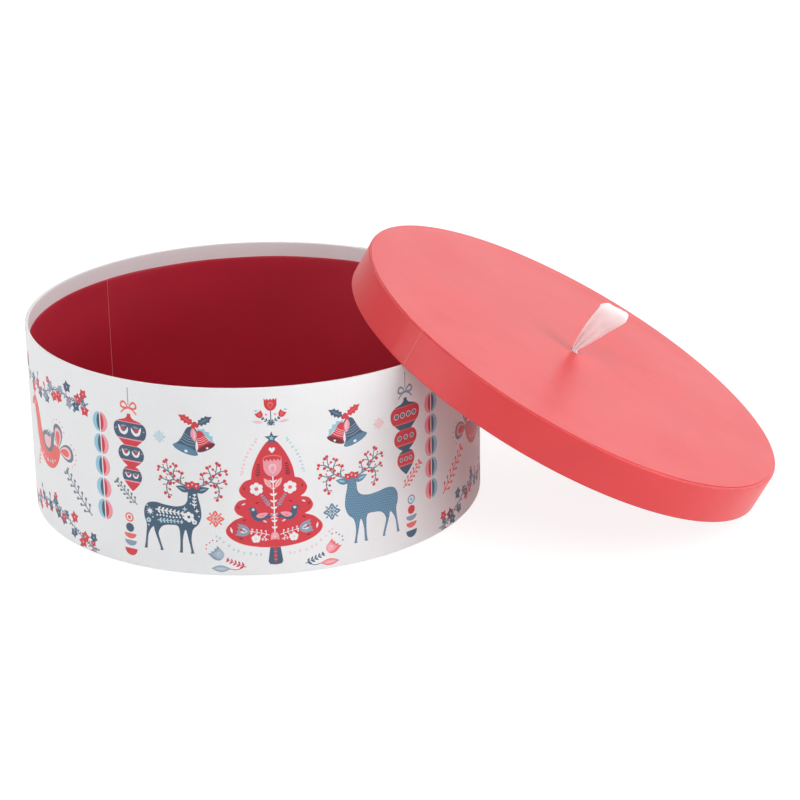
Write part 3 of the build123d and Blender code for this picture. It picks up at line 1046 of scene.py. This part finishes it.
def liner_wall():
    """Red paper up the inside, with its lap and the ridge where it runs over the turned-in wrap."""
    profile = [(TURN_IN_R, height) for height in mm(4, 12, 25, 40, 55, 70, 85, 97)]
    profile = [(TURN_IN_R, FLOOR_Z - PAPER)] + profile + [(TURN_IN_R, TURN_IN_Z - 3 * MM)]
    profile += [(LINER_R, TURN_IN_Z + 0.5 * MM), (LINER_R, LINER_TOP - 2 * MM),
                (LINER_R, LINER_TOP - 0.1 * MM), (LINER_R + 0.08 * MM, LINER_TOP)]
    top_row = len(profile) - 1
    profile += [(TURN_IN_R, LINER_TOP), (TURN_IN_R, TURN_IN_Z + 0.1 * MM), (BASE_R, TURN_IN_Z - 0.2 * MM),
                (BASE_R, FLOOR_Z - PAPER)]

    def shift(turn, radius, height, row):
        lift = lap_rise(turn, LINER_SEAM, LINER_LAP, LINER_R, -1)
        edge = waver(turn, 4.1, 0.30 * MM) if height > LINER_TOP - 3 * MM else 0.0
        cockle = 0.06 * MM * (1 + math.sin(9 * turn + 60 * height)) if 0 < row < top_row - 1 else 0.0
        return (-lift - cockle if row <= top_row else 0.0), edge

    turns = even_turns(240, lap_turns(LINER_SEAM, LINER_LAP, LINER_R, -1))
    points, faces = ring_mesh(profile, turns, shift)
    edge = cut_edge(points, faces, LINER_SEAM, LINER_R, -1)
    piece("lining_wall", points, faces, [lining_paper, paper_core], "box",
          ("liner_wall",), edge)


def liner_floor():
    """Red disc on the base board, a little cockled from its glue."""
    radii = mm(0, 15, 30, 45, 60, 75, 90, 105, 120, 132, 140, 145) + [TURN_IN_R - 0.1 * MM]

    def surface(turn, radius):
        cockle = 1 + math.sin(3 * turn + 40 * radius) * math.sin(70 * radius)
        return 0.0, -0.08 * MM * cockle if radius < 140 * MM else 0.0

    points, faces = disc_mesh(FLOOR_Z, FLOOR_Z - PAPER, radii, even_turns(96), surface)
    piece("lining_floor", points, faces, [lining_paper], "box", ("liner_floor",))


def base_cover():
    """White card disc under the base, its cut edge slightly soft."""
    soft = {SOLE_R - 0.05 * MM: -0.04 * MM, SOLE_R: -0.15 * MM}
    radii = [0] + [SOLE_R - depth for depth in mm(110, 75, 40, 15, 3, 0.25)] + list(soft)

    def surface(turn, radius):
        return 0.0, soft.get(radius, 0.0)

    points, faces = disc_mesh(HEM_Z, 0.0, radii, even_turns(192), surface)
    piece("sole_card", points, faces, [card], "box", ("base_cover",))


# ---------------------------------------------------------------- lid papers

def lid_top():
    """Red disc on the lid: cut by hand, laid a little off centre, and drawn down at the hole."""
    off_center = 0.9 * MM
    turned_over_from = 136 * MM
    radii = [HOLE_R] + mm(2.7, 3.0, 3.6, 4.6, 6.2, 9, 14, 22, 35, 50, 65, 80, 95, 110, 122, 131, 135, 138)
    radii += mm(142, 146, 149) + [LID_TOP_R - 0.3 * MM, LID_TOP_R - 0.06 * MM, LID_TOP_R]

    def surface(turn, radius):
        sunk = -0.14 * MM / (1 + math.exp((radius - turned_over_from) / (1.2 * MM)))
        cockle = 0.04 * MM * math.sin(2 * turn + 25 * radius) * math.sin(45 * radius + turn)
        pucker = 0.10 * MM * math.cos(9 * turn) * math.exp(-((radius - 4 * MM) / (2.5 * MM)) ** 2)
        hole = -0.28 * MM * math.exp(-((radius - HOLE_R) / (0.9 * MM)) ** 2)
        edge = -0.12 * MM if radius == LID_TOP_R else 0.0
        over_board = cockle + pucker - 0.06 * MM if radius < 140 * MM else 0.0
        uneven = waver(turn, 2.2, 0.12 * MM) - off_center * math.cos(turn) if radius > 150 * MM else 0.0
        return uneven, sunk + hole + edge + over_board

    points, faces = disc_mesh(0.0, -PAPER, radii, even_turns(240), surface)
    piece("lid_cover_disc", to_lid(points), faces, [lid_paper], "lid", ("lid_top_paper",))


def lid_rim():
    """Red paper round the skirt: over the top edge, round the lower edge and up inside."""
    top, low = -PAPER, -SKIRT
    back = LID_R - PAPER
    board_in = LID_BAND_R + PAPER
    turned = LID_R - 16 * MM
    under_board = -2.6 * MM
    profile = [(LID_R, height) for height in mm(-24, -21, -17, -13, -9, -5, -2.5)]
    profile += fillet((LID_R, top), (LID_R, low), (0, top), 1.1 * MM, 5)
    top_row = len(profile)
    profile += [(LID_R - 4 * MM, top), (turned, top), (turned, top - PAPER), (back, top - PAPER),
                (back, low + PAPER), (board_in, low + PAPER), (board_in, under_board),
                (LID_BAND_R, under_board), (LID_BAND_R, -14 * MM)]
    profile += fillet((LID_BAND_R, low), (LID_BAND_R, 0), (LID_R, low), 0.6 * MM, 4)
    profile += fillet((LID_R, low), (0, low), (LID_R, 0), 0.6 * MM, 4)

    def shift(turn, radius, height, row):
        hidden = row >= top_row + 2 and radius < LID_R - 0.7 * MM
        if hidden:
            return 0.0, 0.0
        lift = lap_rise(turn, LID_SEAM, LAP, LID_R, -1)
        crinkle = 0.035 * MM * math.cos(60 * turn) if height > -1.3 * MM else 0.0
        dent = UNEVEN + waver(turn + 3 * height, 3.3, UNEVEN) + crinkle
        flat = row >= top_row - 1 and height > -1 * MM
        return (0.0, lift * 0.5 - dent) if flat else (lift - dent, 0.0)

    turns = even_turns(360, lap_turns(LID_SEAM, LAP, LID_R, -1))
    points, faces = ring_mesh(profile, turns, shift)
    edge = cut_edge(points, faces, LID_SEAM, LID_R, -1)
    piece("lid_rim_cover", to_lid(points), faces, [lid_paper, paper_core], "lid",
          ("lid_rim_wrap",), edge)


def turned_over(points):
    """Points of a disc built face up, with its face down."""
    return [(x, -y, -z) for x, y, z in points]


def lid_lining():
    """Red disc inside the lid."""
    radii = [HOLE_R] + mm(3, 5, 12, 25, 40, 60, 80, 100, 120, 135, 146) + [LID_BAND_R - 0.2 * MM]

    def surface(turn, radius):
        return 0.0, -0.05 * MM * (1 + math.sin(2 * turn + 50 * radius)) if radius < 145 * MM else 0.0

    points, faces = disc_mesh(-LID_LINER_Z, -LID_LINER_Z - PAPER, radii, even_turns(120), surface)
    piece("lid_lining", to_lid(turned_over(points)), faces, [lid_paper], "lid", ("lid_liner",))


TAIL_HALF_LENGTH = 20 * MM
TAIL_HALF_WIDTH = 9 * MM
PATCH_R = 25 * MM


def ribbon_patch():
    """Red disc under the lid, moulded over the ribbon's two ends."""
    radii = mm(0, 2, 4, 6, 7.5, 8.5, 9.5, 10.5, 12, 14, 16, 17.5, 19, 20, 21, 22.5, 24, 24.8) + [PATCH_R]

    def step(distance):
        return 1 / (1 + math.exp(distance / (0.35 * MM)))

    def surface(turn, radius):
        x, y = abs(radius * math.cos(turn)), abs(radius * math.sin(turn))
        over = step(x - TAIL_HALF_WIDTH - 0.4 * MM) * step(y - TAIL_HALF_LENGTH - 0.4 * MM)
        neck = 0.25 * MM * math.exp(-(radius / (3.5 * MM)) ** 2)
        edge = -0.1 * MM if radius == PATCH_R else 0.0
        uneven = waver(turn, 5.0, 0.15 * MM) if radius > 24.5 * MM else 0.0
        return uneven, 0.4 * MM * over + neck + edge

    points, faces = disc_mesh(-LID_LINER_Z + PAPER, -LID_LINER_Z, radii, even_turns(144), surface)
    piece("ribbon_cover_patch", to_lid(turned_over(points)), faces, [lid_paper], "lid",
          ("ribbon_patch",))


# ---------------------------------------------------------------- ribbon
# Its path and its edges are in millimetres about the lid's top centre. x > 0 is the layer behind.

RIBBON_WIDTH = 22 * MM
RIBBON_LENGTH = 128 * MM
RIBBON_THICK = 0.22 * MM
RIBBON_STEPS = 56
UNDER_LID = -2.5
PLEATS = 2.5
FINE_PLEATS = 6.3


def ribbon_path():
    """Middle line of the doubled ribbon, as (side, up): one tail, up through the hole, over, and back."""
    half = [(-19.6, -3.08), (-14, -3.08), (-8, -3.08), (-3.2, -3.06), (-1.2, -2.7), (-0.5, -1.6),
            (-0.42, 0.0), (-0.5, 2.0), (-0.9, 5.0), (-1.7, 10.0), (-2.6, 16.0), (-3.4, 22.0), (-3.95, 28.0),
            (-4.1, 33.0), (-3.75, 36.8), (-2.4, 39.1), (0, 39.9)]
    other = [(-side, up) for side, up in half[-2::-1]]
    return [Vector(point) for point in curve(half + other, 8, closed=False)]


def ribbon_edges(center):
    """Left and right edges of the ribbon at a place on its middle line: gathered, or spread under the lid."""
    if center.y < UNDER_LID:
        spread = min(1.0, max(0.0, abs(center.x) - 1.2) / 9.0) ** 0.6
        return -1.6 - 7.2 * spread, 1.6 + 7.2 * spread
    heights = (-2.5, -0.6, 0.7, 3.4, 7.4, 11.5, 16.0, 21.7, 27.0, 32.0, 36.0, 40.0)
    lefts = (-1.7, -2.3, -2.5, -3.1, -3.6, -4.0, -4.1, -3.9, -3.4, -2.7, -2.0, -1.6)
    rights = (1.6, 2.2, 0.9, 2.1, 4.6, 6.8, 8.8, 11.4, 14.2, 16.8, 18.3, 18.2)
    behind = 1.7 * min(1.0, max(0.0, center.x) / 2.6)
    return float(np.interp(center.y, heights, lefts)) + behind, float(np.interp(center.y, heights, rights))


def pleat_depth(center, gather):
    """How deep the pleats are, from how far the ribbon is gathered and the room that it has there."""
    room = 0.16
    if center.y >= UNDER_LID:
        room = np.interp(center.y, (0, 4, 12, 24, 34), (0.45, 0.75, 1.10, 0.90, 0.25))
    return room * (1.5 if center.x > 0 else 0.9) * min(1.0, 1.6 * gather)


def ribbon_row(center, out):
    """Points across the ribbon at one place on its middle line: pleated, bellied, and drooping on top."""
    left, right = ribbon_edges(center)
    gather = 1 - (right - left) / (RIBBON_WIDTH / MM)
    pleat = pleat_depth(center, gather)
    layer = -1 if center.x > 0 else 1
    belly = 0.3 * min(1.0, max(0.0, center.y - 12) / 20)
    crown = min(1.0, max(0.0, center.y - 27) / 11) ** 1.5
    row = []
    for step in range(RIBBON_STEPS + 1):
        t = step / RIBBON_STEPS
        fold = math.sin(2 * math.pi * PLEATS * t + 1.9 * layer)
        fold += 0.30 * math.sin(2 * math.pi * FINE_PLEATS * t + layer)
        side = center + out * (pleat * fold - belly * math.sin(math.pi * t))
        droop = 3.4 * max(0.0, 1 - t / 0.26) ** 2 + 1.2 * max(0.0, (t - 0.86) / 0.14) ** 2
        row.append(Vector((left + (right - left) * t, side.x, side.y - droop * crown)) * MM)
    return row


def ribbon():
    """Satin ribbon: two flat tails under the lid, pleats through the hole, and the open loop above."""
    path = ribbon_path()
    lengths = [0.0]
    for here, there in zip(path, path[1:]):
        lengths.append(lengths[-1] + (there - here).length)
    points, uvs = [], []
    for number, center in enumerate(path):
        along = (path[min(number + 1, len(path) - 1)] - path[max(number - 1, 0)]).normalized()
        points += ribbon_row(center, Vector((-along.y, along.x)))
        v = lengths[number] / lengths[-1] * RIBBON_LENGTH / RIBBON_WIDTH
        uvs += [(step / RIBBON_STEPS, v) for step in range(RIBBON_STEPS + 1)]
    row = RIBBON_STEPS + 1
    faces = [(a, a + 1, a + row + 1, a + row) for number in range(len(path) - 1)
             for a in range(number * row, number * row + RIBBON_STEPS)]
    thing = piece("satin_ribbon", to_lid(points), faces, [ribbon_satin], None,
                  ("ribbon_tails", "ribbon_loop"), sharp=180)
    layer = thing.data.uv_layers.new(name="strip")
    for loop in thing.data.loops:
        layer.data[loop.index].uv = uvs[loop.vertex_index]
    thicken(thing, RIBBON_THICK)
    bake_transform(thing)


def thicken(thing, amount):
    """Give a single-skinned mesh its thickness."""
    solid = thing.modifiers.new("thickness", "SOLIDIFY")
    solid.thickness = amount
    solid.offset = 0
    with bpy.context.temp_override(object=thing, active_object=thing, selected_objects=[thing]):
        bpy.ops.object.modifier_apply(modifier=solid.name)


# ---------------------------------------------------------------- assembly

def recoat(node, material):
    """Give a CAD node that stays a better material."""
    mesh = frame["nodes"][node].data
    if not mesh.materials:
        mesh.materials.append(material)
    for number in range(len(mesh.materials)):
        mesh.materials[number] = material


printed_wrap()
liner_wall()
liner_floor()
base_cover()
lid_top()
lid_rim()
lid_lining()
ribbon_patch()
ribbon()
for name in ("wall_board", "base_board", "lid_rim_board", "lid_top_board"):
    recoat(name, grey_board)
for name in ("wall_joint_tape", "lid_rim_joint_tape"):
    recoat(name, kraft_tape)


# ---------------------------------------------------------------- floor, light and camera

STAGE_SIZE = 8.0
AIM = (0.05, 0, 0.09)
CAMERA_PLACE = (0.20036, -1.54660, 0.65540)
CAMERA_TURNS = ((3.84, "Z"), (69.02, "X"), (-0.968, "Z"))
FOCAL_LENGTH = 111.65


def pale(name, points, faces, tone, glow):
    """Stage piece of one pale tone, glowing a little like a lit white sweep."""
    graph = Graph(name)
    base = graph.tint(graph.noise(3.0), (tone - 0.01,) * 3, (tone + 0.01,) * 3)
    graph.finish(base, graph.spread(graph.noise(6.0), 0.85, 0.95), Specular_IOR_Level=0.1,
                 Emission_Color=(1, 1, 1, 1), Emission_Strength=glow)
    mesh = bpy.data.meshes.new(name)
    mesh.from_pydata(points, [], faces)
    mesh.materials.append(graph.material)
    thing = bpy.data.objects.new(name, mesh)
    bpy.context.scene.collection.objects.link(thing)
    return thing


def floor(name, level, tone, glow):
    """Level floor."""
    size = STAGE_SIZE
    corners = [(-size, -size, level), (size, -size, level), (size, size, level), (-size, size, level)]
    return pale(name, corners, [(0, 1, 2, 3)], tone, glow)


def backdrop():
    """Tall round wall far off, which only the camera sees."""
    sides, low, high = 48, -0.01, 14.0
    ring = [(STAGE_SIZE * math.cos(turn), STAGE_SIZE * math.sin(turn)) for turn in even_turns(sides)]
    points = [(x, y, z) for z in (low, high) for x, y in ring]
    faces = [(side, (side + 1) % sides, sides + (side + 1) % sides, sides + side) for side in range(sides)]
    wall = pale("studio_backdrop", points, faces, 0.30, 0.97)
    wall.visible_diffuse = wall.visible_glossy = wall.visible_shadow = False


def softbox(name, place, size, power):
    """Square area lamp aimed at the object, and out of the camera's sight."""
    lamp = bpy.data.lights.new(name, "AREA")
    lamp.shape = "SQUARE"
    lamp.size = size
    lamp.energy = power
    thing = bpy.data.objects.new(name, lamp)
    thing.location = place
    thing.rotation_euler = (Vector(AIM) - Vector(place)).to_track_quat("-Z", "Y").to_euler()
    thing.visible_camera = False
    bpy.context.scene.collection.objects.link(thing)


def surround(strength):
    """Even white surroundings."""
    world = bpy.data.worlds.new("studio")
    world.use_nodes = True
    background = world.node_tree.nodes["Background"]
    background.inputs["Color"].default_value = (1, 1, 1, 1)
    background.inputs["Strength"].default_value = strength
    bpy.context.scene.world = world


def camera():
    """Camera where the picture was taken from, turned by degrees about one axis after another."""
    lens = bpy.data.cameras.new("camera")
    lens.lens = FOCAL_LENGTH
    lens.sensor_width = 36.0
    thing = bpy.data.objects.new("camera", lens)
    matrix = Matrix.Translation(CAMERA_PLACE)
    for angle, axis in CAMERA_TURNS:
        matrix = matrix @ Matrix.Rotation(math.radians(angle), 4, axis)
    thing.matrix_world = matrix
    bpy.context.scene.collection.objects.link(thing)
    bpy.context.scene.camera = thing


seen = floor("studio_floor", -0.4 * MM, 0.30, 0.85)
seen.visible_diffuse = seen.visible_shadow = False
bounce = floor("bounce_floor", -0.6 * MM, 0.80, 0.0)
bounce.visible_camera = False
backdrop()
softbox("left", (-2.4, -1.0, 1.0), 2.0, 27)
softbox("right_high", (2.4, -0.5, 1.9), 2.0, 17)
softbox("right_low", (2.8, -0.8, 0.6), 2.0, 56)
softbox("back", (1.1, 3.4, 1.5), 3.6, 46)
softbox("back_left", (-1.6, 1.6, 2.0), 2.0, 11)
softbox("front_high", (0.1, -1.6, 2.4), 1.6, 26)
camera()
surround(0.24)
bpy.context.scene.view_settings.view_transform = "Standard"
